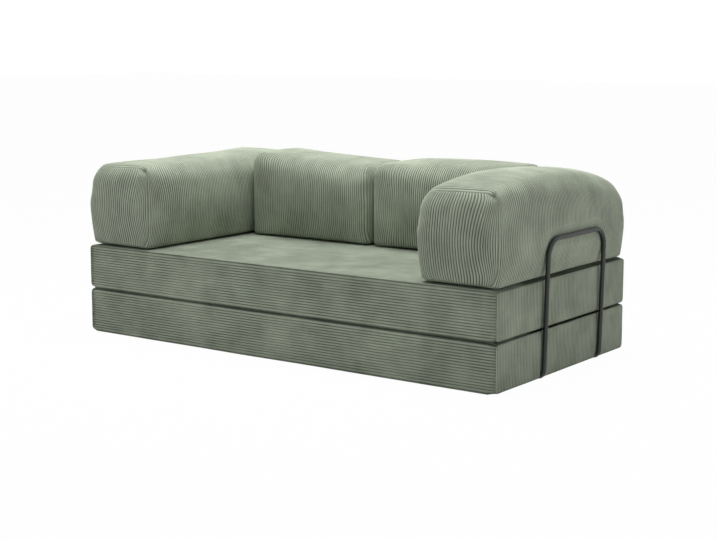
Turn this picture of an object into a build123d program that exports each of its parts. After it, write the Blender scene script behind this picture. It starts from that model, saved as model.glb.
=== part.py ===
from build123d import *
import os

# Fold-out sofa bed: two foam mattresses stacked and hinged along their front edge, four loose
# bolster cushions on top, and four bent steel brackets that keep the bolsters from sliding off.
# Millimetres. Seen by someone who faces the front, +X is to the right, +Y away and +Z up, and left
# and right in the names are that person's. The origin is on the floor, in the middle of the whole
# object's footprint.

# Mattresses
mattress_length = 2000.0
mattress_depth = 1000.0
mattress_thickness = 185.0
mattress_edge_radius = 18.0

# Covers, foam and the small clearances between pieces
cover_thickness = 2.5
foam_clearance = 0.3
rest_gap = 0.3

# Bolsters: arms lie on the two ends, backs lie between them along the rear edge
arm_setback = 5.0
arm_width = 334.0
arm_height = 352.0
back_width = 344.0
back_height = 360.0
bolster_spacing = 2.0
bolster_top_radius = 88.0
bolster_bottom_radius = 62.0
side_crown = 10.0
top_crown = 10.0
seam_draw = 12.0
end_depth = 38.0
end_rim_height = 30.0
end_rim_inset = 24.0
arm_proud = 5.0
wadding_thickness = 20.0
foam_chamfer = 45.0

# Brackets: one round bar each, bent to an upside-down U with two feet under the lower mattress.
# The bar is drawn with flat sides to keep its faces few.
bar_diameter = 18.0
bar_sides = 12
bracket_width = 440.0
bracket_top = 525.0
bracket_corner_radius = 70.0
foot_bend_radius = 27.0
foot_length = 300.0
bracket_gap = 0.3
bracket_lean = 10.0
side_bracket_setback = 46.0

# Fabric hinge strip between the mattresses
strip_half_height = 10.0
strip_thickness = 1.5
strip_inset = 0.2

# Zips: a slot in the cover, a tape sewn behind it and a flat slider that runs in the slot
zip_slot_width = 12.0
zip_tape_width = 30.0
zip_tape_thickness = 1.2
zip_end_margin = 130.0
slider_body_length = 14.0
slider_body_width = 10.0
slider_tab_length = 26.0
slider_tab_width = 6.0
slider_clearance = 0.2

# Crown of a bolster along its length, as shares of the way from seam to middle
crown_place_shares = (0.0, 0.4, 1.0)
crown_shares = (0.0, 0.7, 1.0)

# One overrun for every cut
cut_over = 5.0

# Places worked out from the sizes above
bar_radius = bar_diameter / 2
bracket_reach = bracket_gap + bracket_lean + bar_diameter
mattress_y = -bracket_reach / 2
front_y = mattress_y - mattress_depth / 2
rear_y = mattress_y + mattress_depth / 2
end_x = mattress_length / 2
upper_z = mattress_thickness + rest_gap
bolster_z = upper_z + mattress_thickness + rest_gap
hinge_z = mattress_thickness + rest_gap / 2
arm_length = mattress_depth - 2 * arm_setback
arm_reach = arm_width / 2 + side_crown
arm_x = end_x + arm_proud - arm_reach
back_reach = back_width / 2 + side_crown
back_y = rear_y - back_reach
back_length = arm_x - arm_reach - bolster_spacing - bolster_spacing / 2
back_x = bolster_spacing / 2 + back_length / 2


def write(node, *solids):
    """Saves one node, made of one or more separate solids."""
    shapes = [s for item in solids for s in item.solids()]
    export_step(Compound(label=node, children=shapes), "parts/" + node + ".step")


def block(low, high):
    """A box between two corners."""
    size = [b - a for a, b in zip(low, high)]
    middle = [(a + b) / 2 for a, b in zip(low, high)]
    return Pos(*middle) * Box(*size)


# Zip: the slot runs along X in a cover that is flat at z = 0, with the foam above it
def zip_slot(length):
    """What the slot takes out of the cover."""
    half, wide = length / 2, zip_slot_width / 2
    return block((-half, -wide, -cut_over), (half, wide, cover_thickness))


def zip_tape(length, grow=0.0):
    """The tape on the cover's inner face, or with grow the room that it needs in the foam."""
    half = length / 2 + zip_tape_width / 2 - zip_slot_width / 2 + grow
    wide = zip_tape_width / 2 + grow
    top = cover_thickness + zip_tape_thickness + grow
    return block((-half, -wide, cover_thickness - grow), (half, wide, top))


def zip_slider(length):
    """Slider body and pull tab, lying flat in the slot at its -X end."""
    start = -length / 2 + slider_clearance
    end = start + slider_body_length + slider_tab_length
    low, high = slider_clearance, cover_thickness - slider_clearance
    body_wide, tab_wide = slider_body_width / 2, slider_tab_width / 2
    body = block((start, -body_wide, low), (start + slider_body_length, body_wide, high))
    return body + block((start, -tab_wide, low), (end, tab_wide, high))


# Brackets: feet along -X under the mattress, U standing in the YZ plane beyond its end face at x = 0
def bracket_bar():
    """The bent bar: two feet on the floor, two legs that lean out a little, and the top rail."""
    leg_x = bracket_gap + bar_radius
    rail_x = leg_x + bracket_lean
    rail_z = bracket_top - bar_radius
    half = bracket_width / 2
    tip_x = leg_x - foot_length
    path = FilletPolyline(
        (tip_x, -half, bar_radius),
        (leg_x, -half, bar_radius),
        (rail_x, -half, rail_z),
        (rail_x, half, rail_z),
        (leg_x, half, bar_radius),
        (tip_x, half, bar_radius),
        radius=[foot_bend_radius, bracket_corner_radius, bracket_corner_radius, foot_bend_radius],
    )
    start = Plane(origin=(tip_x, -half, bar_radius), x_dir=(0, 1, 0), z_dir=(1, 0, 0))
    section = RegularPolygon(bar_radius, bar_sides, major_radius=False, rotation=180 / bar_sides)
    return sweep(start * section, path=path)


def foot_groove(side, grow=0.0):
    """Room for one foot and its bend in the mattress, with grow for the cover that lines it."""
    clear = rest_gap + grow
    bend_x = bracket_gap + bar_radius - foot_bend_radius
    bend_z = bar_radius + foot_bend_radius
    inner_radius = foot_bend_radius - bar_radius - clear
    roof_z = bend_z - inner_radius
    deep_x = bracket_gap + bar_radius - foot_length - clear
    mouth_x = bend_x + inner_radius
    out_x = mouth_x + cut_over
    outline = Polyline(
        (deep_x, -cut_over),
        (deep_x, roof_z),
        (bend_x, roof_z),
        (mouth_x, bend_z),
        (out_x, bend_z),
        (out_x, -cut_over),
        close=True,
    )
    middle = Plane(origin=(0, side * bracket_width / 2, 0), x_dir=(1, 0, 0), z_dir=(0, -1, 0))
    return extrude(middle * make_face(outline), bar_radius + clear, both=True)


bracket_places = {
    "left": Pos(-end_x, mattress_y + side_bracket_setback) * Rot(0, 0, 180),
    "right": Pos(end_x, mattress_y + side_bracket_setback),
    "back_left": Pos(-back_x, rear_y) * Rot(0, 0, 90),
    "back_right": Pos(back_x, rear_y) * Rot(0, 0, 90),
}


# Mattresses: a foam block in a cover of one wrap and two end panels, zipped along the rear
def mattress_block(inset):
    """The mattress on the floor, or what is left of it inside an inset on every side."""
    section = RectangleRounded(
        mattress_depth - 2 * inset, mattress_thickness - 2 * inset, mattress_edge_radius - inset
    )
    middle = Plane(origin=(0, mattress_y, mattress_thickness / 2), x_dir=(0, 1, 0), z_dir=(1, 0, 0))
    return extrude(middle * section, end_x - inset, both=True)


def grooves(grow):
    """Room for the eight bracket feet under the lower mattress."""
    return [place * foot_groove(side, grow) for place in bracket_places.values() for side in (-1, 1)]


def make_mattress(name, lift, has_grooves):
    """One mattress and its zip, lifted to its height in the stack."""
    zip_length = mattress_length - 2 * zip_end_margin
    on_rear = Pos(0, rear_y, mattress_thickness / 2) * Rot(90, 0, 0)
    outside, inside = mattress_block(0), mattress_block(cover_thickness)
    foam = mattress_block(cover_thickness + foam_clearance)
    if has_grooves:
        outside -= grooves(0)
        inside -= grooves(cover_thickness)
        foam -= grooves(cover_thickness + foam_clearance)
    cover = outside - inside - on_rear * zip_slot(zip_length)
    foam -= on_rear * zip_tape(zip_length, foam_clearance)
    seam_x = end_x - cover_thickness
    reach = mattress_length + mattress_depth
    middle = block((-seam_x, -reach, -reach), (seam_x, reach, reach))
    write(name + "_cover", Pos(0, 0, lift) * (cover & middle))
    for side, sign in (("left", -1), ("right", 1)):
        slab = block((seam_x, -reach, -reach), (reach, reach, reach))
        panel = cover & (Rot(0, 0, 90 - 90 * sign) * slab)
        write(name + "_end_" + side, Pos(0, 0, lift) * panel)
    write(name + "_foam", Pos(0, 0, lift) * foam)
    write(name + "_zip", Pos(0, 0, lift) * on_rear * zip_tape(zip_length))
    write(name + "_zip_slider", Pos(0, 0, lift) * on_rear * zip_slider(zip_length))


# Hinge strip: its two halves meet at the fold line, in the notch between the rounded edges
def make_hinge_strip():
    low_y = front_y + strip_inset
    high_y = low_y + strip_thickness
    seam_x = end_x - mattress_edge_radius
    for node, start, end in (
        ("hinge_strip_lower", hinge_z - strip_half_height, hinge_z - rest_gap / 2),
        ("hinge_strip_upper", hinge_z + rest_gap / 2, hinge_z + strip_half_height),
    ):
        write(node, block((-seam_x, low_y, start), (seam_x, high_y, end)))


# Bolsters: a plain foam block in a wadded cover that gives the crown, flat underneath
def bolster_section(x, width, height, swell):
    """Outline across the bolster at x: flat bottom, bowed sides and top, rounded corners."""
    half = width / 2 - seam_draw * (1 - swell)
    high = height - seam_draw * (1 - swell)
    bow = half + side_crown
    face = make_face(
        [
            Line((-half, 0), (half, 0)),
            ThreePointArc((half, 0), (bow, high / 2), (half, high)),
            ThreePointArc((half, high), (0, high + top_crown), (-half, high)),
            ThreePointArc((-half, high), (-bow, high / 2), (-half, 0)),
        ]
    )
    face = fillet(face.vertices().sort_by(Axis.Y)[:2], bolster_bottom_radius)
    face = fillet(face.vertices().sort_by(Axis.Y)[-2:], bolster_top_radius)
    return Plane(origin=(x, 0, 0), x_dir=(0, 1, 0), z_dir=(1, 0, 0)) * face


def foam_block(length, width, height, grow=0.0):
    """The foam with its long edges cut off, or with grow the pocket that holds it."""
    half = width / 2 - seam_draw - wadding_thickness + grow
    low = cover_thickness + foam_clearance - grow
    high = height - seam_draw - wadding_thickness + grow
    reach = length / 2 - end_depth - foam_clearance + grow
    foam = block((-reach, -half, low), (reach, half, high))
    return chamfer(foam.edges().filter_by(Axis.X), foam_chamfer)


def bolster_end(sign, length, width, height):
    """Wadded end panel with its rim cut off all round."""
    seam = bolster_section(length / 2 - end_depth, width, height, 0.0)
    panel = extrude(seam, end_depth)
    rim = panel.faces().sort_by(Axis.X)[-1]
    return Rot(0, 0, 90 - 90 * sign) * chamfer(rim.edges(), end_rim_height, end_rim_inset)


def make_bolster(name, place, length, width, height):
    """One bolster with its zip, set on the upper mattress."""
    zip_length = length - 2 * zip_end_margin
    seam_x = length / 2 - end_depth
    stations = [(seam_x * (1 - p), s) for p, s in zip(crown_place_shares, crown_shares)]
    stations += [(-x, s) for x, s in reversed(stations[:-1])]
    wrap = loft([bolster_section(x, width, height, s) for x, s in stations], ruled=True)
    wrap -= foam_block(length, width, height, foam_clearance)
    write(name + "_cover", place * (wrap - zip_slot(zip_length)))
    ends = [bolster_end(sign, length, width, height) for sign in (-1, 1)]
    write(name + "_end_panels", *[place * end for end in ends])
    foam = foam_block(length, width, height) - zip_tape(zip_length, foam_clearance)
    write(name + "_foam", place * foam)
    write(name + "_zip", place * zip_tape(zip_length))
    write(name + "_zip_slider", place * zip_slider(zip_length))


os.makedirs("parts", exist_ok=True)

make_mattress("lower_mattress", 0.0, True)
make_mattress("upper_mattress", upper_z, False)
make_hinge_strip()

for side, sign in (("left", -1), ("right", 1)):
    arm_place = Pos(sign * arm_x, mattress_y, bolster_z) * Rot(0, 0, 90)
    make_bolster(side + "_arm", arm_place, arm_length, arm_width, arm_height)
    back_place = Pos(sign * back_x, back_y, bolster_z)
    make_bolster(side + "_back", back_place, back_length, back_width, back_height)

for name, place in bracket_places.items():
    write(name + "_bracket", place * bracket_bar())
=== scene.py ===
from math import atan, atan2, cos, exp, hypot, pi, radians, sin, tan

import bmesh
import bpy
from mathutils import Matrix, Vector, noise
from mathutils.bvhtree import BVHTree
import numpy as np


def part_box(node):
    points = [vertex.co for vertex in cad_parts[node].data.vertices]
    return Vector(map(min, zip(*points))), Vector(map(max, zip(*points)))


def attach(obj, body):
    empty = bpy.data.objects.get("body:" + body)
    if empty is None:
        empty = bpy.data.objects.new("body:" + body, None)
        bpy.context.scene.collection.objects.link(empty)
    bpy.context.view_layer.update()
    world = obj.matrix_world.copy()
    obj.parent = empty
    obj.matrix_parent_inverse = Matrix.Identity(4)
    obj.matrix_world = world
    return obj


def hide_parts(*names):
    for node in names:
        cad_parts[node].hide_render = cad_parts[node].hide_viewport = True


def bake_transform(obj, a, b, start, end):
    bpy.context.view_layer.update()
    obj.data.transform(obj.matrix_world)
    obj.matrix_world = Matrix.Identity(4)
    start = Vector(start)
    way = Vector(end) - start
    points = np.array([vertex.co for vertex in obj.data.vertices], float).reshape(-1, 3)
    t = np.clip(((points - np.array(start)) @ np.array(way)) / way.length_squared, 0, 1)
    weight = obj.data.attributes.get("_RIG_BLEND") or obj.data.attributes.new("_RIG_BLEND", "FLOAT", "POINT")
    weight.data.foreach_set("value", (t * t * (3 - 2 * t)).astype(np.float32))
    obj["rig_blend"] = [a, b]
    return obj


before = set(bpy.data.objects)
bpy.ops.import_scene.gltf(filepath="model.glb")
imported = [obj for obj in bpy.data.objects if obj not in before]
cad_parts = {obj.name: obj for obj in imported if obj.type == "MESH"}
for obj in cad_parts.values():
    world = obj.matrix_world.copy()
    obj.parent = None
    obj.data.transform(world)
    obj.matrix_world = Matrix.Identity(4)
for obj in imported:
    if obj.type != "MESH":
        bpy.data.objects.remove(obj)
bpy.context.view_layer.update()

# Camera
# It stands to the right of the sofa bed, a little above it, as far off as a room allows.
camera_data = bpy.data.cameras.new("camera")
camera_data.lens = 74.58
camera_data.sensor_width = 36.0
camera = bpy.data.objects.new("camera", camera_data)
camera.location = (3.5629, -4.877, 1.2529)
camera.rotation_euler = (radians(90 - 9.086), 0, radians(35.887))
bpy.context.scene.collection.objects.link(camera)
bpy.context.scene.camera = camera


# Corduroy
# Cotton cut-pile cloth with wide ribs, dyed sage green. The pile on the ribs catches the light and
# brightens at a glancing angle. The grooves between them are coloured dark, partly for the bare
# woven base there and partly as painted shade, and the pile lies a little differently from patch
# to patch.
def linear(code):
    """An sRGB hex colour as linear red, green, blue and alpha."""
    shares = [int(code[i : i + 2], 16) / 255 for i in (0, 2, 4)]
    return tuple(c / 12.92 if c <= 0.04045 else ((c + 0.055) / 1.055) ** 2.4 for c in shares) + (1,)


def add(tree, kind, sockets=None, **settings):
    """Adds a shader node; sockets maps an input to a value or to another node's (node, output)."""
    made = tree.nodes.new(kind)
    for name, value in settings.items():
        setattr(made, name, value)
    for name, source in (sockets or {}).items():
        if isinstance(source, tuple) and isinstance(source[0], bpy.types.Node):
            tree.links.new(source[0].outputs[source[1]], made.inputs[name])
        else:
            made.inputs[name].default_value = source
    return made


def new_material(name):
    """An empty material and its tree."""
    material = bpy.data.materials.new(name)
    material.use_nodes = True
    material.node_tree.nodes.clear()
    return material, material.node_tree


def mixed(tree, factor, first, second, blend="MIX"):
    """A colour mix of two colours, each a value or another node's (node, output)."""
    sockets = {0: factor, 6: first, 7: second}
    return add(tree, "ShaderNodeMix", sockets, data_type="RGBA", blend_type=blend), 2


def noise_at(tree, place, scale, detail=2.0):
    """The value of a noise texture at a place."""
    sockets = {"Vector": place, "Scale": scale, "Detail": detail}
    return add(tree, "ShaderNodeTexNoise", sockets), "Fac"


def ranged(tree, value, start, end, low=0.0, high=1.0):
    """A value brought from the range of start and end to that of low and high, and held in it."""
    sockets = {"Value": value, "From Min": start, "From Max": end, "To Min": low, "To Max": high}
    return add(tree, "ShaderNodeMapRange", sockets), 0


def times(tree, value, factor):
    """A value times a factor."""
    return add(tree, "ShaderNodeMath", {0: value, 1: factor}, operation="MULTIPLY"), 0


def bump_of(tree, height, strength, distance):
    """The normal of a surface with this height on it."""
    sockets = {"Height": height, "Strength": strength, "Distance": distance}
    return add(tree, "ShaderNodeBump", sockets), 0


def finish_tree(tree, sockets):
    """Ends the tree with a principled shader and its output."""
    shader = add(tree, "ShaderNodeBsdfPrincipled", sockets)
    add(tree, "ShaderNodeOutputMaterial", {"Surface": (shader, 0)})


rib_pitch = 0.0106
bare_weave_and_groove_shade = linear("283126")
pile_crest = linear("C0CAB6")
pile_rubbed = linear("9FA696")
pile_brushed = linear("C0CAB5")
patch_size = 0.11
patch_strength = 0.7
cover_size = 0.15
cover_strength = 0.36
streak_length = 0.09
fuzz_size = 0.0016
fuzz_depth = 0.0006
noise_ends = (0.3, 0.7)
cover_ends = (0.42, 0.66)
streak_shades = (0.9, 1.07)
fuzz_shades = (0.9, 1.08)
crest_power = 1.2


def make_corduroy():
    """Pile colour by the height on the rib, patches and streaks of pile, and a fuzzy bump."""
    material, tree = new_material("cotton_corduroy")
    rib, across, along = [
        (add(tree, "ShaderNodeAttribute", attribute_name=name), "Fac")
        for name in ("rib", "across", "along")
    ]
    place = add(tree, "ShaderNodeTexCoord"), "Object"
    patch = ranged(tree, noise_at(tree, place, 1 / patch_size, 3.0), *noise_ends)
    cover = noise_at(tree, place, 1 / cover_size, 3.0)
    cover = ranged(tree, cover, *cover_ends, high=cover_strength)
    spot = {"X": times(tree, across, 1 / rib_pitch), "Y": times(tree, along, 1 / streak_length)}
    spot = add(tree, "ShaderNodeCombineXYZ", spot), 0
    streak = ranged(tree, noise_at(tree, spot, 0.8), *noise_ends, *streak_shades)
    fuzz = noise_at(tree, place, 1 / fuzz_size, 4.0)
    pile = mixed(tree, patch, pile_rubbed, pile_brushed)
    pile = mixed(tree, patch_strength, pile_crest, pile)
    for shade in (streak, ranged(tree, fuzz, *noise_ends, *fuzz_shades)):
        pile = mixed(tree, 1.0, pile, shade, "MULTIPLY")
    # Painted shade: a low rib value darkens the colour towards this mix. That happens in the grooves, where
    # the cloth is drawn in deep, and on the mattress tops. The bare woven base gives only part of it.
    groove_weave_and_shade = mixed(tree, cover, bare_weave_and_groove_shade, pile_rubbed)
    crest = {0: rib, 1: crest_power}
    height = add(tree, "ShaderNodeMath", crest, operation="POWER", use_clamp=True), 0
    sockets = {
        "Base Color": mixed(tree, height, groove_weave_and_shade, pile),
        "Roughness": 0.92,
        "Specular IOR Level": 0.2,
        "Sheen Weight": 0.22,
        "Sheen Roughness": 0.55,
        "Sheen Tint": linear("C9D0BD"),
        "Normal": bump_of(tree, fuzz, 0.5, fuzz_depth),
    }
    finish_tree(tree, sockets)
    return material


corduroy = make_corduroy()


# Mattresses
# Two blocks of foam in zipped corduroy covers. The ribs of the wrap run along the bed and turn
# round its long edges; those of the two end panels stand upright. Each panel is sewn in round the
# rim of its end, where the seam pulls the cloth in and painted shade darkens it to a narrow line.
rib_height = 0.0021
rib_steps = ((0.0, 0.0), (0.17, 0.6), (0.38, 0.98), (0.62, 0.98), (0.83, 0.6))
end_gap = 0.0014
cut_edge_height = 0.45
painted_shade_start, painted_shade_depth = 0.0022, 0.0055
ring_parts = 400
end_core = 0.9
mattresses = ("lower_mattress", "upper_mattress")


def clamp(value):
    """The value held between 0 and 1."""
    return min(max(value, 0), 1)


def cut_box(low, high, cuts):
    """A box with cuts near its edges, which set how round those edges smooth out."""
    bm = bmesh.new()
    bmesh.ops.create_cube(bm, size=1)
    bmesh.ops.scale(bm, vec=high - low, verts=bm.verts)
    bmesh.ops.translate(bm, vec=(low + high) / 2, verts=bm.verts)
    for axis, places in enumerate(cuts):
        for place in places:
            point, normal = Vector(), Vector()
            point[axis], normal[axis] = place, 1
            whole = bm.verts[:] + bm.edges[:] + bm.faces[:]
            bmesh.ops.bisect_plane(bm, geom=whole, plane_co=point, plane_no=normal, dist=1e-6)
    return bm


def sharpen(bm, chosen, amount):
    """Keeps the edges whose middle is chosen from smoothing out fully."""
    layer = bm.edges.layers.float.get("crease_edge") or bm.edges.layers.float.new("crease_edge")
    for edge in bm.edges:
        if chosen((edge.verts[0].co + edge.verts[1].co) / 2):
            edge[layer] = amount


def loose_object(name, bm):
    """An object in the scene with the mesh."""
    mesh = bpy.data.meshes.new(name)
    bm.to_mesh(mesh)
    bm.free()
    made = bpy.data.objects.new(name, mesh)
    bpy.context.scene.collection.objects.link(made)
    return made


def settled(made):
    """The object's mesh with its modifiers applied, as a new bmesh; the object goes."""
    graph = bpy.context.evaluated_depsgraph_get()
    mesh = bpy.data.meshes.new_from_object(made.evaluated_get(graph))
    bm = bmesh.new()
    bm.from_mesh(mesh)
    old = made.data
    bpy.data.objects.remove(made)
    bpy.data.meshes.remove(old)
    bpy.data.meshes.remove(mesh)
    return bm


def smoothed(bm, levels):
    """The cut box as a smooth body."""
    made = loose_object("body", bm)
    smooth = made.modifiers.new("smooth", "SUBSURF")
    smooth.levels = smooth.render_levels = levels
    return settled(made)


def walk_round(share, width, height, radius):
    """Core point and outward direction on a rounded outline, a share of the way round it.

    The walk starts in the middle of the bottom and goes towards +Y first."""
    flat_y, flat_z, arc = width - 2 * radius, height - 2 * radius, pi / 2 * radius
    left = share * (2 * flat_y + 2 * flat_z + 4 * arc)
    y, z, turn = 0.0, radius, -pi / 2
    for flat in (flat_y / 2, flat_z, flat_y, flat_z, flat_y / 2):
        step = min(left, flat)
        y += cos(turn + pi / 2) * step
        z += sin(turn + pi / 2) * step
        left -= step
        step = min(left, arc)
        turn += step / radius
        left -= step
    return Vector((0, y, z)), Vector((0, cos(turn), sin(turn)))


def on_body(body, start, way):
    """Where the way out from a point inside the body meets its surface."""
    hit = body.ray_cast(start, way)[0]
    return hit if hit else body.find_nearest(start + way)[0]


def lay_corduroy(bm, ribs, rows, place, shades, cut_edges=True):
    """Adds a sheet of corduroy; place gives each point, how far it stands out and its run.

    Its across and along are shares of the sheet, and the run is the way along the ribs. The shades
    are the heights, as shares of a full rib, that show in the grooves and on the ribs."""
    columns = ribs * len(rib_steps)
    floats = bm.verts.layers.float
    for layer in ("rib", "across", "along", "relief"):
        floats.get(layer) or floats.new(layer)
    layers = [floats[layer] for layer in ("rib", "across", "along", "relief")]
    made = bmesh.ops.create_grid(bm, x_segments=columns, y_segments=rows, size=0.5)["verts"]
    for vert in made:
        column = round((vert.co.x + 0.5) * columns)
        rib, part = divmod(column, len(rib_steps))
        share, height = rib_steps[part]
        across, along = (rib + share) / ribs, vert.co.y + 0.5
        point, relief, run = place(across, along)
        if cut_edges and column in (0, columns):
            height = cut_edge_height
        height = shades[0] + (shades[1] - shades[0]) * height
        # Painted shade: cloth drawn in deep at a seam, gather, crease or zip slot gets a lower rib value,
        # which darkens it.
        height *= 1 - clamp((-relief - painted_shade_start) / painted_shade_depth)
        for layer, value in zip(layers, (height, (rib + share) * rib_pitch, run, relief)):
            vert[layer] = value
        vert.co = point


def ring_point(ring, share):
    """The point at a share of the way round a ring of points."""
    place = (share % 1) * len(ring)
    at = int(place)
    return ring[at].lerp(ring[(at + 1) % len(ring)], place - at)


def lay_end(bm, body, ring, corners, ribs, rows, relief, shades):
    """Adds an end panel inside the ring; its upright ribs keep to the ring's two sides.

    The corners are shares of the ring. relief(across, along, point) tells how far the cloth stands
    out at the point, or how far the ribs are drawn to one side where the point is None."""
    low_right, high_right, high_left, low_left = corners
    spots = [ring_point(ring, share) for share in corners]
    middle = sum(spots, Vector()) / 4
    sign = 1 if middle.x > 0 else -1
    half_y = max(abs(p.y - middle.y) for p in ring)
    half_z = max(abs(p.z - middle.z) for p in ring)
    shrink = Vector((0, 1 - end_gap / half_y, 1 - end_gap / half_z))

    def panel(across, along):
        drawn = relief(across, along, None)
        across += drawn
        left = ring_point(ring, low_left + (high_left - low_left) * along)
        right = ring_point(ring, low_right + (high_right - low_right) * along)
        top = ring_point(ring, high_left + (high_right - high_left) * across)
        bottom = ring_point(ring, low_left - 1 + (low_right + 1 - low_left) * across)
        point = left.lerp(right, across) + bottom.lerp(top, along)
        point -= spots[3].lerp(spots[0], across).lerp(spots[2].lerp(spots[1], across), along)
        off = point - middle
        y, z = middle.y + off.y * shrink.y, middle.z + off.z * shrink.z
        start = Vector((middle.x * end_core, y, z))
        point = on_body(body, start, Vector((sign, 0, 0)))
        return point, relief(across, along, point), start.z

    lay_corduroy(bm, ribs, rows, panel, shades)


def shoulder_rings(body, size, radius):
    """The ring at each end where the body turns from its girth to its end face."""
    rings = {}
    for sign in (-1, 1):
        rings[sign] = []
        for part in range(ring_parts):
            core, way = walk_round(part / ring_parts, size.y, size.z, radius)
            core.x, way.x = sign * (size.x / 2 - radius), sign
            rings[sign].append(on_body(body, core, way))
    return rings


def ring_corners(width, height, radius):
    """Shares of the way round to the middles of the four corners, from the lower +Y one."""
    flat_y, flat_z, arc = width - 2 * radius, height - 2 * radius, pi / 2 * radius
    girth = 2 * (flat_y + flat_z) + 4 * arc
    first = (flat_y + arc) / 2
    steps = (0, flat_z + arc, flat_y + flat_z + 2 * arc, flat_y + 2 * flat_z + 3 * arc)
    return [(first + step) / girth for step in steps]


def rims_at(bm, side):
    """The two open rims at one end, each in order round it, with the turns of their points."""
    left = [v for v in bm.verts if v.is_boundary and v.co.x * side > 0]
    middle = sum((v.co for v in left), Vector()) / len(left)
    rims = []
    fresh = set(left)
    for seed in left:
        if seed in fresh:
            fresh.discard(seed)
            rim, open_ends = [], [seed]
            while open_ends:
                vert = open_ends.pop()
                rim.append((atan2(vert.co.z - middle.z, vert.co.y - middle.y), vert))
                for edge in vert.link_edges:
                    other = edge.other_vert(vert)
                    if edge.is_boundary and other in fresh:
                        fresh.discard(other)
                        open_ends.append(other)
            rims.append(sorted(rim, key=lambda pair: pair[0]))
    return rims


def sew_up(bm):
    """Closes the sheets to one cover, with a strip of faces between the two rims of each end."""
    bmesh.ops.remove_doubles(bm, verts=bm.verts, dist=1e-5)
    for side in (-1, 1):
        first, second = rims_at(bm, side)
        turns = [[pair[0] for pair in rim] for rim in (first, second)]
        turns = [rim + [rim[0] + 2 * pi, rim[1] + 2 * pi] for rim in turns]
        i = j = 0
        while i < len(first) or j < len(second):
            here, there = first[i % len(first)][1], second[j % len(second)][1]
            if j == len(second) or i < len(first) and turns[0][i + 1] < turns[1][j + 1]:
                i += 1
                bm.faces.new((here, there, first[i % len(first)][1]))
            else:
                j += 1
                bm.faces.new((here, there, second[j % len(second)][1]))
    bmesh.ops.recalc_face_normals(bm, faces=bm.faces)


def raise_ribs(bm):
    """Raises the ribs and the relief of the sheets along their normals."""
    bm.normal_update()
    rib = bm.verts.layers.float["rib"]
    relief = bm.verts.layers.float["relief"]
    moves = [v.normal * (rib_height * (v[rib] - 1) + v[relief]) for v in bm.verts]
    for vert, move in zip(bm.verts, moves):
        vert.co += move


def make_piece(name, bm, material, body, nodes):
    """A finished piece that rides on its body, if it has one, and stands for its nodes."""
    made = loose_object(name, bm)
    made.data.shade_smooth()
    made.data.materials.append(material)
    if body:
        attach(made, body)
    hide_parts(*nodes)
    return made


def box_of(*nodes):
    """Lowest and highest corner of several nodes together."""
    boxes = [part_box(node) for node in nodes]
    low = Vector([min(box[0][axis] for box in boxes) for axis in range(3)])
    high = Vector([max(box[1][axis] for box in boxes) for axis in range(3)])
    return low, high


flat_shades = (0.15, 0.81)
top_shade_share = 0.8
top_shade_start, top_shade_fade = 0.006, 0.004
mattress_edge = 0.0058
mattress_lip = 0.6
end_rim = 0.007
end_bulge = 0.002
mattress_radius = 0.020
row_spacing = 0.034
mattress_seam_pull = 0.003
mattress_seam_reach = 0.006
hinge_seam_pull = 0.0045
hinge_seam_reach = 0.0045
zip_slot_half = 0.0062
zip_slot_depth = 0.0042
zip_end_inset = 0.01
mattress_wave, end_wave = 0.0009, 0.0012
end_rows = 20


def near_zip(x, side, half_length):
    """How far the cloth is set back for the zip, at x along it and side off its middle."""
    if abs(x) > half_length or abs(side) > zip_slot_half:
        return 0.0
    return -zip_slot_depth


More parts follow.
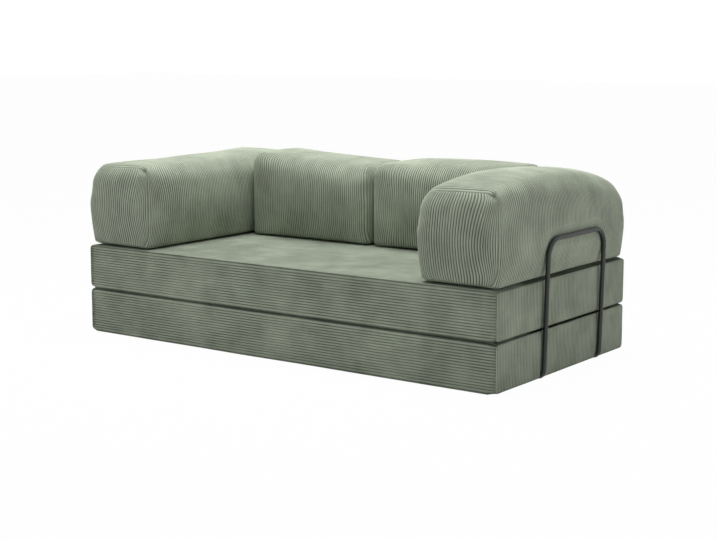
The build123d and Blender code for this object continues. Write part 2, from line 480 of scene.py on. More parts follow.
def make_mattress(name, lip_on_top):
    """One mattress cover; its lip is the front edge that meets the other mattress."""
    nodes = [name + part for part in ("_cover", "_end_left", "_end_right")]
    low, high = box_of(*nodes)
    size = high - low
    middle = Vector(((low.x + high.x) / 2, (low.y + high.y) / 2, low.z))
    half = Vector((size.x / 2, size.y / 2, 0))
    zip_low, zip_high = box_of(name + "_zip")
    zip_z = (zip_low.z + zip_high.z) / 2 - low.z
    zip_half = (zip_high.x - zip_low.x) / 2 - zip_end_inset
    cuts = (
        (-half.x + end_rim, -0.5, 0, 0.5, half.x - end_rim),
        (-half.y + mattress_edge, 0, half.y - mattress_edge),
        (mattress_edge, size.z - mattress_edge),
    )
    cage = cut_box(-half, half + Vector((0, 0, size.z)), cuts)
    lip_z = size.z if lip_on_top else 0
    sharpen(cage, lambda p: p.y < -half.y + 1e-4 and abs(p.z - lip_z) < 1e-4, mattress_lip)
    body_mesh = smoothed(cage, 3)
    for vert in body_mesh.verts:
        spread = (1 - (vert.co.y / half.y) ** 2) * (1 - ((vert.co.z / size.z) * 2 - 1) ** 2)
        if abs(vert.co.x) > half.x - end_rim:
            vert.co.x -= (end_bulge * (1 - spread)) * (1 if vert.co.x > 0 else -1)
    body = BVHTree.FromBMesh(body_mesh)
    body_mesh.free()
    girth = 2 * (size.y + size.z) - (8 - 2 * pi) * mattress_radius
    rings = shoulder_rings(body, size, mattress_radius)

    def wrap(across, along):
        core, way = walk_round(across, size.y, size.z, mattress_radius)
        rim = ring_point(rings[1 if along > 0.5 else -1], across)
        x = rim.x * abs(along * 2 - 1)
        point = on_body(body, Vector((x, core.y, core.z)), way)
        edge = abs(rim.x - x)
        relief = -mattress_seam_pull * exp(-edge / mattress_seam_reach)
        spot = Vector((x * 3.1, point.y * 4.3, point.z * 9 + low.z * 7))
        relief += mattress_wave * noise.noise(spot)
        # The zip lies in the rear side and the hinge seam along the front.
        # Where these set the cloth in deep, its rib value drops and the cloth shows painted shade.
        if way.y > 0.99:
            relief += near_zip(x, point.z - zip_z, zip_half)
        if way.y < -0.3:
            relief -= hinge_seam_pull * exp(-abs(point.z - lip_z) / hinge_seam_reach)
        return point, relief, x

    bm = bmesh.new()
    rows = round(size.x / row_spacing)
    lay_corduroy(bm, round(girth / rib_pitch), rows, wrap, flat_shades, cut_edges=False)
    corners = ring_corners(size.y, size.z, mattress_radius)
    for sign in (-1, 1):
        def relief(across, along, point):
            if point is None:
                return 0.0
            side, lift = (0.5 - abs(across - 0.5)) * size.y, (0.5 - abs(along - 0.5)) * size.z
            wave = end_wave * noise.noise(Vector((sign, point.y * 6, point.z * 9 + low.z * 7)))
            return wave - mattress_seam_pull * exp(-min(side, lift) / mattress_seam_reach)

        ribs = round(2 * half.y / rib_pitch)
        lay_end(bm, body, rings[sign], corners, ribs, end_rows, relief, flat_shades)
    sew_up(bm)
    raise_ribs(bm)
    shade = bm.verts.layers.float["rib"]
    # Painted shade: the top of each cover is darkened to this share, for the shade over the seat between the
    # arms and backs.
    for vert in bm.verts:
        top_shading = clamp((vert.co.z - size.z + top_shade_start) / top_shade_fade)
        vert[shade] *= 1 + (top_shade_share - 1) * top_shading
    bmesh.ops.translate(bm, vec=middle, verts=bm.verts)
    cover = make_piece(name + "_cover_cloth", bm, corduroy, name, nodes)


make_mattress("lower_mattress", True)
make_mattress("upper_mattress", False)

# Hinge strip
# A strip of the same corduroy, sewn to both mattresses along their front lips. It lies folded in
# the crease between them, coloured darker than the covers as painted shade, and opens flat when the
# upper mattress is turned over.
strip_half_height = 0.0055
strip_dip = 0.006
strip_inset = 0.009
strip_roundness = 1.6
strip_rows = 60


def make_hinge_strip():
    """The folded strip, which bends between the two mattresses."""
    low, high = box_of("hinge_strip_lower", "hinge_strip_upper")
    fold_z = (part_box("hinge_strip_lower")[1][2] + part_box("hinge_strip_upper")[0][2]) / 2
    lip_y = low.y + strip_inset

    def strip(across, along):
        height = across * 2 - 1
        x = low.x + (high.x - low.x) * along
        y = lip_y + strip_dip * (1 - abs(height) ** strip_roundness)
        return Vector((x, y, fold_z + height * strip_half_height)), 0.0, x

    bm = bmesh.new()
    # Painted shade: the strip's rib values stop at half, so it shows dark in the crease.
    lay_corduroy(bm, 2, strip_rows, strip, (0, 0.5))
    for face in bm.faces:
        if face.normal.y > 0:
            face.normal_flip()
    raise_ribs(bm)
    area = sum(face.calc_area() for face in bm.faces)
    nodes = ("hinge_strip_lower", "hinge_strip_upper")
    made = make_piece("hinge_strip", bm, corduroy, None, nodes)
    start = (0, lip_y, fold_z - strip_half_height)
    end = (0, lip_y, fold_z + strip_half_height)
    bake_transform(made, "lower_mattress", "upper_mattress", start, end)


make_hinge_strip()

# Bolsters
# Four cushions of one cut: two arms and two backs. The wrap's ribs run round the girth, and at
# each end the cloth turns one upright corner smoothly, while the other corner and the top edge
# are seams that draw the ribs together at a gathered point. Wadding over the foam makes them
# plump, and the steel brackets press a dent into their outer sides.
full_shades = (0.0, 1.0)
bolster_core_radius = 0.075
bolster_side_radius = 0.064
bolster_top_radius = 0.084
bolster_bottom_radius = 0.050
smooth_corner_radius = 0.040
seam_corner_radius = 0.032
smooth_radii = (0.056, 0.070, 0.088, 0.014)
seam_radii = (0.034, 0.036, 0.060, 0.009)
widening = 0.10
side_bulge = 0.004
top_bulge = 0.010
edge_cuts = (0.08, 0.22, 0.4, 0.6, 0.8, 1.0)
bolster_sink = 0.005
bolster_row = 0.008
end_stretch = 0.35
seam_pull = 0.0042
seam_reach = 0.009
pucker_height = 0.0012
pucker_reach = 0.022
pucker_length = 0.024
top_seam, bottom_seam, corner_seam = 0.4, 0.4, 0.7
gather_depth = 0.005
gather_size = 0.017
gather_turn = radians(52)
squeeze_reach = 0.10
squeeze_share = 0.66
squeeze_top_reach = 0.095
low_share, low_height, low_reach = 0.75, 0.02, 0.08
fold_count, fold_height = 5, 0.0016
fold_start, fold_fade = 0.02, 0.03
bolster_end_rows = 44
bag_pressure = 4.0
bag_cap = 0.008
bag_frames = 20
top_wave, side_wave = 0.004, 0.003


def blown_up(bm, pressure, cap):
    """The body after air has been let into it as into a cloth bag, the most a point moves capped."""
    start = [vert.co.copy() for vert in bm.verts]
    made = loose_object("blown", bm)
    cloth = made.modifiers.new("cloth", "CLOTH")
    cloth.settings.quality = 5
    cloth.settings.mass = 0.3
    cloth.settings.tension_stiffness = cloth.settings.compression_stiffness = 15
    cloth.settings.shear_stiffness = 5
    cloth.settings.bending_stiffness = 0.5
    cloth.settings.use_pressure = True
    cloth.settings.uniform_pressure_force = pressure
    cloth.settings.effector_weights.gravity = 0
    for step in range(1, bag_frames + 1):
        bpy.context.scene.frame_set(step)
    blown = settled(made)
    bpy.context.scene.frame_set(1)
    moves = [vert.co - origin for vert, origin in zip(blown.verts, start)]
    share = min(1, cap / max(move.length for move in moves))
    for vert, origin, move in zip(blown.verts, start, moves):
        move.x *= end_stretch
        vert.co = origin + move * share
    return blown


def fit_body(bm, low, high):
    """Scales the body to the corners and presses its underside flat on z = 0."""
    for axis in range(3):
        places = [vert.co[axis] for vert in bm.verts]
        first, last = min(places), max(places)
        for vert in bm.verts:
            share = (vert.co[axis] - first) / (last - first)
            vert.co[axis] = low[axis] + share * (high[axis] - low[axis])
    for vert in bm.verts:
        vert.co.z = max(vert.co.z, 0)


def cuts_across(low, high, first, last):
    """Places to cut a side of the box: close together in its two rounded edges, wider between."""
    middle = [low + first + (high - low - first - last) * part / 12 for part in range(1, 12)]
    return [low + first * t for t in edge_cuts] + middle + [high - last * t for t in edge_cuts]


def eased(place, strip, new_strip, span):
    """Moves a place so that an edge strip gets its new width, evenly out to the span."""
    if place < strip:
        return place * new_strip / strip
    return place + (new_strip - strip) * (span - place) / (span - strip)


def bolster_body(size, outer, lifts, bulges, seed):
    """The stuffed body; outer is the local Y side of the bracket.

    The lifts raise the top at the -X end, in the middle and at the +X end, and the last one lowers
    the outer shoulder towards +X. The bulges are how far the outer side, the inner side and the -X
    end swell past the box, where a negative one fades out towards +X, and how deep both ends swell
    within it."""
    half = Vector((size.x / 2, size.y / 2, 0))
    top = half + Vector((0, 0, size.z))
    base = Vector((half.x - bulges[3], half.y - side_bulge, size.z - top_bulge))
    side, over, under = bolster_side_radius, bolster_top_radius, bolster_bottom_radius
    cuts = (
        cuts_across(-base.x, base.x, smooth_corner_radius, smooth_corner_radius),
        cuts_across(-base.y, base.y, side, side),
        cuts_across(0, base.z, under, over),
    )
    bm = cut_box(Vector((-base.x, -base.y, 0)), base, cuts)
    for vert in bm.verts:
        x, y, z = vert.co
        seamed = 0.5 + 0.5 * y / base.y * (1 if x > 0 else -1)
        corner = smooth_corner_radius + (seam_corner_radius - smooth_corner_radius) * seamed
        seamed = 0.5 + 0.5 * x * y / base.x / base.y
        deep_top, wide_top, high, low = [
            round_one + (tight_one - round_one) * seamed
            for round_one, tight_one in zip(smooth_radii, seam_radii)
        ]
        if z < base.z / 2:
            z, tall = eased(z, under, low, base.z / 2), low
        else:
            z, tall = base.z - eased(base.z - z, over, high, base.z / 2), high
        level = clamp(1 + (z - base.z + high) / widening)
        level = level**2 * (3 - 2 * level)
        deep = corner + (deep_top - corner) * level
        wide = corner * 1.1 + (wide_top - corner * 1.1) * level
        x = (base.x - eased(base.x - abs(x), smooth_corner_radius, deep, base.x)) * (1 if x > 0 else -1)
        y = (base.y - eased(base.y - abs(y), side, wide, base.y)) * (1 if y > 0 else -1)
        radii = Vector((deep, wide, tall))
        core = Vector(
            (
                min(max(x, deep - base.x), base.x - deep),
                min(max(y, wide - base.y), base.y - wide),
                min(max(z, low), base.z - high),
            )
        )
        off = Vector([(p - c) / r for p, c, r in zip((x, y, z), core, radii)])
        off = off / max(off.length, 1e-6)
        run, across, up = x / base.x, y / base.y, z / base.z
        swell = sin(pi * clamp(up))
        vert.co = core + Vector([o * r for o, r in zip(off, radii)])
        vert.co.y += side_bulge * across * swell * (1 - 0.45 * run**4)
        vert.co.x += bulges[3] * run * swell * (1 - across**2)
        vert.co.z += top_bulge * up * (1 - across**2) * (1 - run**8)
    bm = blown_up(bm, bag_pressure, bag_cap)
    bm = smoothed(bm, 1)
    fit_body(bm, Vector((-half.x, -half.y, -bolster_sink)), top)
    for vert in bm.verts:
        x, y, z = vert.co
        run, side, up = x / half.x, y / half.y, z / size.z
        wave = noise.noise(Vector((x * 4 + seed, y * 4, z * 4)))
        belly = sin(pi * clamp(up))
        lift = lifts[0] * run * (run - 1) / 2 + lifts[2] * run * (run + 1) / 2
        lift -= lifts[3] * max(0, run) ** 3 * max(0, side * outer) ** 2
        vert.co.z += up * (lift + lifts[1] * (1 - run**2) + top_wave * wave)
        bulge = bulges[0 if side * outer > 0 else 1]
        if bulge < 0:
            bulge *= -min(1, max(0, 0.35 - run) * 1.2)
        vert.co.y += bulge * belly * side * (1 - max(0, side * run) ** 1.5)
        vert.co.x -= bulges[2] * belly * min(run, 0) ** 4 * (1 - 0.3 * side * side)
        vert.co.y += side_wave * noise.noise(Vector((x * 5, z * 5, seed + 9))) * min(up * 4, 1)
    body = BVHTree.FromBMesh(bm)
    bm.free()
    return body


def gather_relief(point, gather, sign):
    """How the cloth dips and folds round the gathered point of a seam corner."""
    off = point - gather
    reach = off.length
    turn = atan2(off.z, off.y * sign - off.x * sign)
    folds = cos(fold_count * turn) * exp(-reach / fold_fade) * min(reach / fold_start, 1)
    return fold_height * folds - gather_depth * exp(-((reach / gather_size) ** 2))


def make_bolster(name, outer, turned, lifts, bulges, folds, seed):
    """One bolster cover, laid over its body in its own frame and then put in its place."""
    nodes = [name + "_cover", name + "_end_panels"]
    low, high = box_of(*nodes)
    size = high - low
    if turned:
        size.x, size.y = size.y, size.x
    middle = Vector(((low.x + high.x) / 2, (low.y + high.y) / 2, low.z))
    place = Matrix.Translation(middle) @ Matrix.Rotation(pi / 2 if turned else 0, 4, "Z")
    body = bolster_body(size, outer, lifts, bulges, seed)
    radius = bolster_core_radius
    girth = 2 * (size.y + size.z) - (8 - 2 * pi) * radius
    rings, gathers = shoulder_rings(body, size, radius), {}
    for sign in (-1, 1):
        end_x = sign * (size.x / 2 - radius)
        core = Vector((end_x, sign * (size.y / 2 - radius), size.z - radius))
        way = Vector((sign, sign * cos(gather_turn), sin(gather_turn)))
        gathers[sign] = on_body(body, core, way)

    def squeeze(edge, z, sign):
        """How far a rib near the seam corner is drawn towards it, near the top and the bottom."""
        top = exp(-(((z - gathers[sign].z) / squeeze_top_reach) ** 2))
        bottom = low_share * exp(-(((z - low_height) / low_reach) ** 2))
        return squeeze_share * max(top, bottom) * exp(-((edge / squeeze_reach) ** 2)) * edge

    def wrap(across, along):
        core, way = walk_round(along, size.y, size.z, radius)
        sign = 1 if across > 0.5 else -1
        rim = ring_point(rings[sign], along)
        x = rim.x * abs(across * 2 - 1)
        edge = abs(rim.x - x)
        at_corner = clamp(way.y * sign * 1.6 - 0.2)
        drawn = at_corner * squeeze(edge, core.z + way.z * radius, sign)
        x += sign * drawn
        edge -= drawn
        point = on_body(body, Vector((x, core.y, core.z)), way)
        side = corner_seam if way.y * sign > 0 else 0
        seam = top_seam * max(way.z, 0) ** 2 + bottom_seam * max(-way.z, 0) ** 2 + side * way.y**2
        ripple = noise.noise(Vector((along * girth / pucker_length, seed, sign)))
        # Where the seams and the gather draw the cloth in deep, lay_corduroy darkens it as painted shade.
        relief = -seam * seam_pull * exp(-edge / seam_reach)
        relief += seam * pucker_height * ripple * exp(-edge / pucker_reach)
        relief += gather_relief(point, gathers[sign], sign)
        return point, relief, along * girth

    bm = bmesh.new()
    lay_corduroy(bm, round(size.x / rib_pitch), round(girth / bolster_row), wrap, full_shades)
    corners = ring_corners(size.y, size.z, radius)
    for sign in (-1, 1):

        def relief(across, along, point):
            edge = (1 - across if sign > 0 else across) * size.y
            if point is None:
                return sign * squeeze(edge, along * size.z, sign) / size.y
            fall, lift = (1 - along) * size.z, along * size.z
            ripple_side = noise.noise(Vector((point.z / pucker_length, seed + 3, sign)))
            ripple_top = noise.noise(Vector((point.y / pucker_length, seed + 5, sign)))
            pull = max(
                corner_seam * exp(-edge / seam_reach),
                top_seam * exp(-fall / seam_reach),
                bottom_seam * exp(-lift / seam_reach),
            )
            out = corner_seam * pucker_height * ripple_side * exp(-edge / pucker_reach)
            out += top_seam * pucker_height * ripple_top * exp(-fall / pucker_reach)
            return out + gather_relief(point, gathers[sign], sign) - seam_pull * pull

        ribs = round(size.y / rib_pitch)
        lay_end(bm, body, rings[sign], corners, ribs, bolster_end_rows, relief, full_shades)
    sew_up(bm)
    raise_ribs(bm)
    bmesh.ops.transform(bm, matrix=place, verts=bm.verts)
    press_in(bm, name, folds)
    cover = make_piece(name + "_cover_cloth", bm, corduroy, name, nodes)


bar_radius = 0.009
bar_lean = 0.010
bar_corner_radius = 0.070
bar_foot_bend = 0.027
bar_clearance = 0.0015
dent_rate = 6.0
fold_tip = 0.12
brackets = {
    "left_arm": ("left_bracket", Vector((-1, 0, 0))),
    "right_arm": ("right_bracket", Vector((1, 0, 0))),
    "left_back": ("back_left_bracket", Vector((0, 1, 0))),
    "right_back": ("back_right_bracket", Vector((0, 1, 0))),
}
# Each fold in the right arm: start, end, depth and width
right_arm_folds = (
    ((1.0, -0.200, 0.475), (0.985, -0.240, 0.395), 0.005, 0.010),
    ((0.99, 0.275, 0.430), (1.0, 0.310, 0.560), 0.003, 0.012),
)


def press_in(bm, name, folds):
    """Presses the bracket's bar and the folds into the cover."""
    bracket, out = brackets[name]
    low, high = box_of(bracket)
    along = Vector((0, 0, 1)).cross(out)
    centre = ((low + high) / 2).dot(along)
    half_width = abs((high - low).dot(along)) / 2 - bar_radius
    rail_z = high.z - bar_radius
    rail_out = max(low.dot(out), high.dot(out)) - bar_radius
    for vert in bm.verts:
        sideways = abs(vert.co.dot(along) - centre) - (half_width - bar_corner_radius)
        upward = vert.co.z - (rail_z - bar_corner_radius)
        outside = hypot(max(sideways, 0), max(upward, 0)) + min(max(sideways, upward), 0)
        off_bar = abs(outside - bar_corner_radius)
        bar_out = rail_out - bar_lean * (rail_z - vert.co.z) / (rail_z - bar_radius)
        limit = bar_out - bar_radius - bar_clearance + dent_rate * off_bar**2
        excess = vert.co.dot(out) - limit
        if excess > 0:
            vert.co -= out * excess
        for start, end, depth, width in folds:
            line = Vector(end) - Vector(start)
            share = clamp((vert.co - Vector(start)).dot(line) / line.length_squared)
            reach = (vert.co - Vector(start) - line * share).length
            if reach < 3 * width:
                fade = sin(pi * (fold_tip + (1 - 2 * fold_tip) * share))
                vert.co -= vert.normal * depth * fade * exp(-((reach / width) ** 2))


arm_bulges = (0.016, -0.019, 0.014, 0.006)
back_bulges = (0.010, 0.010, 0.0, 0.003)
make_bolster("left_arm", 1, True, (-0.006, -0.010, 0.008, 0), arm_bulges, (), 1.0)
make_bolster("right_arm", -1, True, (-0.011, 0.026, -0.040, 0.054), arm_bulges, right_arm_folds, 2.0)
make_bolster("left_back", 1, False, (0.015, -0.012, -0.026, 0), back_bulges, (), 3.0)
make_bolster("right_back", 1, False, (-0.014, -0.004, -0.005, 0), back_bulges, (), 4.0)

# Foam
# Each cover holds one block cut from cream polyurethane foam with a fine open cell. The long
# edges of the bolsters' blocks are trimmed off under the wadding.
foam_cell = 0.003
mattress_foam_slack = 0.008
bolster_foam_slack = 0.014
mattress_foam_trim, bolster_foam_trim = 0.012, 0.045


def make_foam_material():
    """Cut foam: a pale cream skinless surface, pitted with open cells drawn coarse enough to see."""
    material, tree = new_material("cut_polyurethane_foam")
    place = add(tree, "ShaderNodeTexCoord"), "Object"
    cells = add(tree, "ShaderNodeTexVoronoi", {"Vector": place, "Scale": 1 / foam_cell}), "Distance"
    colour = mixed(tree, cells, linear("D9CDA6"), linear("EFE6C8"))
    bump = bump_of(tree, cells, 0.6, 0.001)
    finish_tree(tree, {"Base Color": colour, "Roughness": 0.95, "Normal": bump})
    return material


foam_material = make_foam_material()


def make_foam(name, slack, trim):
    """One foam block with its edges trimmed."""
    low, high = box_of(name + "_foam")
    slack = Vector((slack, slack, slack))
    bm = cut_box(low + slack, high - slack, ())
    bmesh.ops.bevel(
        bm, geom=bm.edges[:], offset=trim, segments=3, profile=0.5, affect="EDGES", material=-1
    )
    made = make_piece(name + "_foam_block", bm, foam_material, name, [name + "_foam"])


for name in mattresses:
    make_foam(name, mattress_foam_slack, mattress_foam_trim)
for name in brackets:
    make_foam(name, bolster_foam_slack, bolster_foam_trim)

# Brackets
# Each is one round steel bar, bent to an upside-down U that leans out a little, with two feet that
# turn in under the lower mattress. It is painted a dark green-black with a soft shine.
bar_sides = 24
bar_end_bevel = 0.0015
bend_step = radians(7)
rub_scale, peel_scale = 14.0, 700.0


def make_paint():
    """Powder-coated steel: a dark satin skin with a faint orange-peel, rubbed paler in places."""
    material, tree = new_material("powder_coated_steel")
    place = add(tree, "ShaderNodeTexCoord"), "Object"
    rub = noise_at(tree, place, rub_scale, 3.0)
    sockets = {
        "Base Color": mixed(tree, ranged(tree, rub, 0.35, 0.75), linear("121613"), linear("1B201C")),
        "Roughness": ranged(tree, rub, 0, 1, 0.38, 0.52),
        "Normal": bump_of(tree, noise_at(tree, place, peel_scale), 0.15, 0.0004),
    }
    finish_tree(tree, sockets)
    return material


steel_paint = make_paint()


def bend_bar(bm, start, steps):
    """A round bar from start along +X, led through runs (length) and bends (radius, angle, way)."""
    at, to = Vector(start), Vector((1, 0, 0))
    lie = Matrix.Translation(at) @ Matrix.Rotation(pi / 2, 4, "Y")
    made = bmesh.ops.create_circle(bm, radius=bar_radius, segments=bar_sides, matrix=lie)["verts"]
    rim = list({edge for vert in made for edge in vert.link_edges})
    first = rim
    for step in steps:
        if len(step) == 1:
            geom = bmesh.ops.extrude_edge_only(bm, edges=rim)["geom"]
            made = [g for g in geom if isinstance(g, bmesh.types.BMVert)]
            bmesh.ops.translate(bm, vec=to * step[0], verts=made)
            at = at + to * step[0]
        else:
            radius, angle, way = step
            way = (Vector(way) - to * to.dot(Vector(way))).normalized()
            centre, axis = at + way * radius, to.cross(way)
            count = max(4, round(angle / bend_step))
            spun = bmesh.ops.spin(
                bm, geom=rim + made, cent=centre, axis=axis, angle=angle, steps=count
            )
            geom = spun["geom_last"]
            made = [g for g in geom if isinstance(g, bmesh.types.BMVert)]
            turn = Matrix.Rotation(angle, 3, axis)
            at, to = centre + turn @ (at - centre), turn @ to
        rim = [e for e in {e for v in made for e in v.link_edges} if all(v in made for v in e.verts)]
    ends = bmesh.ops.edgeloop_fill(bm, edges=first)["faces"]
    ends += bmesh.ops.edgeloop_fill(bm, edges=rim)["faces"]
    bmesh.ops.bevel(
        bm,
        geom=[edge for face in ends for edge in face.edges],
        offset=bar_end_bevel,
        segments=2,
        profile=0.5,
        affect="EDGES",
        material=-1,
    )
    bmesh.ops.recalc_face_normals(bm, faces=bm.faces)


def make_bracket(name, out):
    """One bracket; its own +X points out of the mattress, and then it is put in its place."""
    low, high = box_of(name)
    along = Vector((0, 0, 1)).cross(out)
    width = abs((high - low).dot(along)) - 2 * bar_radius
    reach = abs((high - low).dot(out))
    rise = high.z - low.z - 2 * bar_radius
    lean = atan(bar_lean / rise)
    foot_angle = pi / 2 - lean
    foot_cut = bar_foot_bend * tan(foot_angle / 2)
    leg = hypot(bar_lean, rise)
    foot = reach - bar_lean - bar_radius
    half = width / 2
    steps = (
        (foot - foot_cut,),
        (bar_foot_bend, foot_angle, (0, 0, 1)),
        (leg - foot_cut - bar_corner_radius,),
        (bar_corner_radius, pi / 2, (0, 1, 0)),
        (width - 2 * bar_corner_radius,),
        (bar_corner_radius, pi / 2, (-sin(lean), 0, -cos(lean))),
        (leg - foot_cut - bar_corner_radius,),
        (bar_foot_bend, foot_angle, (-1, 0, 0)),
        (foot - foot_cut,),
    )
    bm = bmesh.new()
    bend_bar(bm, (0, -half, bar_radius), steps)
    centre = ((low + high) / 2).dot(along)
    tip = max(low.dot(out), high.dot(out)) - reach
    place = Matrix((out, along, (0, 0, 1))).transposed().to_4x4()
    place.translation = out * tip + along * centre
    bmesh.ops.transform(bm, matrix=place, verts=bm.verts)
    make_piece(name + "_bar", bm, steel_paint, name, [name])


for name, out in brackets.values():
    make_bracket(name, out)

# Zips
# Each cover closes with a coil zip: a woven tape sewn in under the edges of a slot, and two rows of
# nylon loops along its middle that hook into each other. The slider is plated steel with a pull.
loop_pitch = 0.003
tape_drop = 0.0011
weave_pitch = 0.0009
weave_turn = (0.6, 0.6, 0.6)
scratch_scale = (300.0, 2500.0, 2500.0)
loop_size, loop_bevel = (0.0011, 0.0034, 0.0008), 0.0002
loop_offset, loop_sink = 0.001, 0.0001
tape_thickness, tape_sink = 0.0005, 0.0004
# The tape's outline: share of the width, and how much of the drop
tape_profile = ((-0.5, -1), (-0.22, -1), (-0.13, 0), (0.13, 0), (0.22, -1), (0.5, -1))
# The slider's pull, body and bridge: middle and size, as shares of its length, width and height
slider_parts = (
    ((0.15, 0, 0.3), (0.7, 0.62, 0.4)),
    ((-0.32, 0, -0.2), (0.36, 1, 0.6)),
    ((-0.26, 0, 0.18), (0.1, 0.3, 0.64)),
)
pull_bevel = 0.0018


def make_tape_material():
    """Woven polyester tape and nylon loops, dyed dark green, with the slant of a twill weave."""
    material, tree = new_material("woven_polyester_tape")
    place = add(tree, "ShaderNodeTexCoord"), "Object"
    turned = add(tree, "ShaderNodeMapping", {"Vector": place, "Rotation": weave_turn}), 0
    sockets = {"Vector": turned, "Scale": 0.31 / weave_pitch, "Distortion": 0.6, "Detail Scale": 3.0}
    weave = add(tree, "ShaderNodeTexWave", sockets), "Fac"
    colour = mixed(tree, weave, linear("3A4236"), linear("515A4B"))
    bump = bump_of(tree, weave, 0.5, 0.0002)
    finish_tree(tree, {"Base Color": colour, "Roughness": 0.7, "Normal": bump})
    return material


def make_plating():
    """Nickel-plated die-cast metal: bright, with fine scratches from use along its length."""
    material, tree = new_material("nickel_plated_metal")
    place = add(tree, "ShaderNodeTexCoord"), "Object"
    stretched = add(tree, "ShaderNodeMapping", {"Vector": place, "Scale": scratch_scale}), 0
    scratch = noise_at(tree, stretched, 1.0, 3.0)
    colour = mixed(tree, scratch, linear("A9A59C"), linear("C6C3BA"))
    rough = ranged(tree, scratch, 0, 1, 0.18, 0.42)
    finish_tree(tree, {"Base Color": colour, "Metallic": 1.0, "Roughness": rough})
    return material


tape_material = make_tape_material()
plating = make_plating()


def block(bm, middle, size, bevel, corners_only=False):
    """Adds a block with bevelled edges, or with only its four upright edges bevelled."""
    made = bmesh.ops.create_cube(bm, size=1, matrix=Matrix.Translation(middle))["verts"]
    for vert in made:
        vert.co = Vector(middle) + Vector(
            [(place - at) * side for place, at, side in zip(vert.co, middle, size)]
        )
    edges = {edge for vert in made for edge in vert.link_edges}
    if corners_only:
        edges = {e for e in edges if abs(e.verts[0].co.z - e.verts[1].co.z) > 1e-6}
    bmesh.ops.bevel(
        bm, geom=list(edges), offset=bevel, segments=2, profile=0.5, affect="EDGES", material=-1
    )


def make_zip(name, out):
    """One zip and its slider; their own +X runs along the zip and +Z points out of the cover."""
    low, high = box_of(name + "_zip")
    size, middle = high - low, (low + high) / 2
    run = Vector((1, 0, 0)) if size.x > size.y else Vector((0, 1, 0))
    side = out.cross(run)
    length, width, thick = size.dot(run), abs(size.dot(side)), abs(size.dot(out))
    place = Matrix((run, side, out)).transposed().to_4x4()
    place.translation = middle
    loops = bmesh.new()
    for row in (-1, 1):
        start = -length / 2 + loop_pitch * (1 + row * 0.25)
        at = Vector((start, row * loop_offset, thick / 2 - loop_sink))
        block(loops, at, loop_size, loop_bevel)
    coil = loose_object("coil", loops)
    repeat = coil.modifiers.new("repeat", "ARRAY")
    repeat.use_relative_offset = False
    repeat.use_constant_offset = True
    repeat.constant_offset_displace = (loop_pitch, 0, 0)
    repeat.count = round(length / loop_pitch) - 1
    bm = settled(coil)
    rails = []
    for across, drop in tape_profile:
        rail = []
        for end in (-1, 1):
            at = (end * length / 2, across * width, thick / 2 - tape_sink + drop * tape_drop / 2)
            rail.append(bm.verts.new(at))
        rails.append(rail)
    strip = [
        bm.faces.new((here[0], here[1], there[1], there[0])) for here, there in zip(rails, rails[1:])
    ]
    bmesh.ops.solidify(bm, geom=strip, thickness=tape_thickness)
    bmesh.ops.recalc_face_normals(bm, faces=bm.faces)
    bmesh.ops.transform(bm, matrix=place, verts=bm.verts)
    make_piece(name + "_zip_coil", bm, tape_material, name, [name + "_zip"])

    low, high = box_of(name + "_zip_slider")
    size = high - low
    long, wide, tall = size.dot(run), abs(size.dot(side)), abs(size.dot(out))
    place.translation = (low + high) / 2
    bm = bmesh.new()
    spans = Vector((long, wide, tall))
    pull, body, bridge = [[spans * Vector(shares) for shares in part] for part in slider_parts]
    block(bm, *pull, pull_bevel, True)
    flats = [face for face in bm.faces if abs(face.normal.z) > 0.9]
    bmesh.ops.inset_individual(bm, faces=flats, thickness=wide * 0.16)
    edges = list({edge for face in flats for edge in face.edges})
    bmesh.ops.delete(bm, geom=flats, context="FACES_ONLY")
    bmesh.ops.bridge_loops(bm, edges=edges)
    block(bm, *body, tall * 0.2)
    block(bm, *bridge, tall * 0.15)
    bmesh.ops.recalc_face_normals(bm, faces=bm.faces)
    bmesh.ops.transform(bm, matrix=place, verts=bm.verts)
    slider = name + "_zip_slider"
    make_piece(slider + "_pull", bm, plating, slider, [slider])


for name in mattresses:
    make_zip(name, Vector((0, 1, 0)))
for name in brackets:
    make_zip(name, Vector((0, 0, -1)))

# Floor and light
# A pale studio floor under soft light from above and from both sides.
floor_half = 30
floor_glow_share = 0.98
sky_strength = 0.33
white = linear("FFFFFF")
lamp_aim = Vector((0, 0, 0.4))


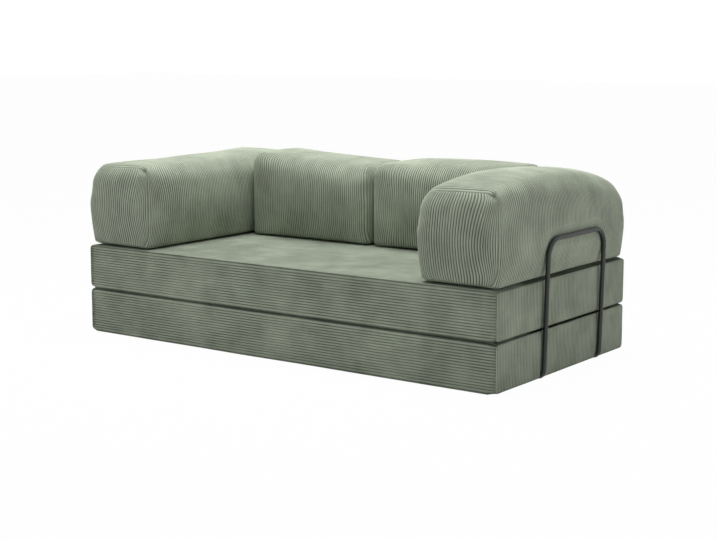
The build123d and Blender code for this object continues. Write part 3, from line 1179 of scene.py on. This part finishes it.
def seen_directly(tree):
    """1 for a ray from the camera, off a shiny surface or through a clear one, and 0 for the rest."""
    path = add(tree, "ShaderNodeLightPath")
    seen = add(tree, "ShaderNodeMath", {0: (path, "Is Camera Ray"), 1: (path, "Is Glossy Ray")})
    sockets = {0: (seen, 0), 1: (path, "Is Transmission Ray")}
    return add(tree, "ShaderNodeMath", sockets, use_clamp=True), 0


floor_material, floor_tree = new_material("studio_floor")
floor_share = times(floor_tree, seen_directly(floor_tree), floor_glow_share)
floor_paint = add(floor_tree, "ShaderNodeBsdfDiffuse", {"Color": linear("D8D8D6")})
floor_glow = add(floor_tree, "ShaderNodeEmission", {"Color": white, "Strength": 1.0})
floor_sockets = {0: floor_share, 1: (floor_paint, 0), 2: (floor_glow, 0)}
floor_mix = add(floor_tree, "ShaderNodeMixShader", floor_sockets)
add(floor_tree, "ShaderNodeOutputMaterial", {"Surface": (floor_mix, 0)})
floor_mesh = bmesh.new()
bmesh.ops.create_grid(floor_mesh, x_segments=1, y_segments=1, size=floor_half)
floor = loose_object("floor", floor_mesh)
floor.data.materials.append(floor_material)

world = bpy.data.worlds.new("studio")
world.use_nodes = True
sky = world.node_tree
sky.nodes.clear()
sky_soft = add(sky, "ShaderNodeBackground", {"Color": white, "Strength": sky_strength})
sky_seen = add(sky, "ShaderNodeBackground", {"Color": white, "Strength": 1.0})
sky_sockets = {0: seen_directly(sky), 1: (sky_soft, 0), 2: (sky_seen, 0)}
sky_mix = add(sky, "ShaderNodeMixShader", sky_sockets)
add(sky, "ShaderNodeOutputWorld", {"Surface": (sky_mix, 0)})
bpy.context.scene.world = world
bpy.context.scene.view_settings.view_transform = "Standard"

for name, place, width, power in (
    ("key", (-0.3, 0.0, 4.2), 2.6, 172),
    ("right", (4.2, -0.3, 0.75), 1.2, 17),
    ("left", (-4.0, -2.4, 1.4), 1.4, 15),
):
    lamp_data = bpy.data.lights.new(name, "AREA")
    lamp_data.size = width
    lamp_data.energy = power
    lamp = bpy.data.objects.new(name, lamp_data)
    lamp.location = place
    lamp.rotation_euler = (lamp_aim - Vector(place)).to_track_quat("-Z", "Y").to_euler()
    bpy.context.scene.collection.objects.link(lamp)
